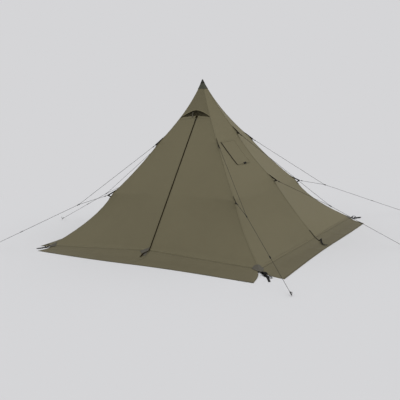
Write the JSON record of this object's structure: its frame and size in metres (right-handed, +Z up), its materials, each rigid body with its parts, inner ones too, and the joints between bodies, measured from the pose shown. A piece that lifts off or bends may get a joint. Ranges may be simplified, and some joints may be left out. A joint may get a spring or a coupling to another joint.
{
  "type": "pyramid tent",
  "caption": "Four-sided pyramid tent on one centre pole with a front door on a zip, a hooded vent, a stove flap, a mud skirt and guy lines.",
  "frame": {"origin": "On the ground under the centre pole, in the plane of the pole foot and the mud skirt.", "axes": "+Z up along the pole, -Y out through the door, +X out of the right side that has the stove flap."},
  "size_m": [5.742, 5.1747, 2.2],
  "materials": {
    "canopy_cloth": "coated plain weave, khaki",
    "skirt_cloth": "coated plain weave, darker khaki",
    "cap_cloth": "heavy coated weave, grey green",
    "mesh": "fine black netting",
    "heatproof_cloth": "matt glass-fibre cloth",
    "tape": "woven tape",
    "cord": "braided cord",
    "zip_coil": "moulded coil on woven tape",
    "slider_metal": "lacquered die-cast zinc",
    "black_plastic": "moulded acetal",
    "peg_steel": "zinc-plated wire",
    "rubber": "moulded rubber",
    "aluminium": "satin anodised tube"
  },
  "bodies": {
    "tent": {"right_panel_front": "canopy_cloth", "right_panel_rear": "canopy_cloth", "back_panel_right": "canopy_cloth", "back_panel_left": "canopy_cloth", "left_panel_rear": "canopy_cloth", "left_panel_front": "canopy_cloth", "front_panel_left": "canopy_cloth", "front_panel_right": "canopy_cloth", "vent_hood": "canopy_cloth", "skirt_right": "skirt_cloth", "skirt_back": "skirt_cloth", "skirt_left": "skirt_cloth", "peak_cap": "cap_cloth", "vent_mesh": "mesh", "stove_jack": "heatproof_cloth", "pole_foot": "rubber", "pole_lower": "aluminium", "pole_upper": "aluminium", "seam_tape_front_right": "tape", "guy_front_right": "cord", "peg_front_right": "peg_steel", "seam_tape_front_left": "tape", "guy_front_left": "cord", "peg_front_left": "peg_steel", "seam_tape_rear_right": "tape", "guy_rear_right": "cord", "peg_rear_right": "peg_steel", "seam_tape_rear_left": "tape", "guy_rear_left": "cord", "peg_rear_left": "peg_steel", "seam_tape_right": "tape", "guy_right": "cord", "peg_right": "peg_steel", "seam_tape_back": "tape", "guy_back": "cord", "peg_back": "peg_steel", "seam_tape_left": "tape", "guy_left": "cord", "peg_left": "peg_steel", "corner_buckle_front_right": "black_plastic", "corner_buckle_front_left": "black_plastic", "corner_buckle_rear_right": "black_plastic", "corner_buckle_rear_left": "black_plastic"},
    "leaf_left": {"door_left": "canopy_cloth", "skirt_front_left": "skirt_cloth", "zip_left": "zip_coil"},
    "leaf_right": {"door_right": "canopy_cloth", "skirt_front_right": "skirt_cloth", "zip_right": "zip_coil"},
    "slider": {"zip_slider": "slider_metal"},
    "pull": {"zip_pull": "slider_metal"},
    "flap": {"stove_flap": "canopy_cloth"},
    "prop": {"vent_prop": "black_plastic"},
    "runner_front_right": {"runner_front_right": "black_plastic"},
    "runner_front_left": {"runner_front_left": "black_plastic"},
    "runner_rear_right": {"runner_rear_right": "black_plastic"},
    "runner_rear_left": {"runner_rear_left": "black_plastic"},
    "runner_right": {"runner_right": "black_plastic"},
    "runner_back": {"runner_back": "black_plastic"},
    "runner_left": {"runner_left": "black_plastic"}
  },
  "joints": [
    {"name": "door_left_fold", "type": "hinge", "parent": "tent", "child": "leaf_left", "pos_m": [-0.01219, -0.21625, 1.66942], "axis": [-0.4531, -0.569, -0.6862], "range_deg": [0, 110]},
    {"name": "door_right_fold", "type": "hinge", "parent": "tent", "child": "leaf_right", "pos_m": [0.01219, -0.21625, 1.66942], "axis": [-0.4531, 0.569, 0.6862], "range_deg": [0, 110]},
    {"name": "zip_slide", "type": "slide", "parent": "leaf_right", "child": "slider", "axis": [0, -0.6265, -0.7794], "range_m": [0, 1.9867]},
    {"name": "pull_swing", "type": "hinge", "parent": "slider", "child": "pull", "pos_m": [0, -0.22986, 1.65771], "axis": [-1, 0, 0], "range_deg": [0, 150]},
    {"name": "flap_fold", "type": "hinge", "parent": "tent", "child": "flap", "pos_m": [0.49221, -0.40743, 1.3536], "axis": [-0.2082, -0.9778, -0.0223], "range_deg": [0, 160]},
    {"name": "prop_swing", "type": "hinge", "parent": "tent", "child": "prop", "pos_m": [-0.06, -0.21197, 1.69], "axis": [0, -0.9563, 0.2924], "range_deg": [0, 70]},
    {"name": "runner_slide_front_right", "type": "slide", "parent": "tent", "child": "runner_front_right", "axis": [-0.6584, 0.6584, 0.3649], "range_m": [-0.12, 0.12]},
    {"name": "runner_slide_front_left", "type": "slide", "parent": "tent", "child": "runner_front_left", "axis": [0.6584, 0.6584, 0.3649], "range_m": [-0.12, 0.12]},
    {"name": "runner_slide_rear_right", "type": "slide", "parent": "tent", "child": "runner_rear_right", "axis": [-0.6584, -0.6584, 0.3649], "range_m": [-0.12, 0.12]},
    {"name": "runner_slide_rear_left", "type": "slide", "parent": "tent", "child": "runner_rear_left", "axis": [0.6584, -0.6584, 0.3649], "range_m": [-0.12, 0.12]},
    {"name": "runner_slide_right", "type": "slide", "parent": "tent", "child": "runner_right", "axis": [-0.9006, 0, 0.4347], "range_m": [-0.12, 0.12]},
    {"name": "runner_slide_back", "type": "slide", "parent": "tent", "child": "runner_back", "axis": [0, -0.9006, 0.4347], "range_m": [-0.12, 0.12]},
    {"name": "runner_slide_left", "type": "slide", "parent": "tent", "child": "runner_left", "axis": [0.9006, 0, 0.4347], "range_m": [-0.12, 0.12]}
  ]
}
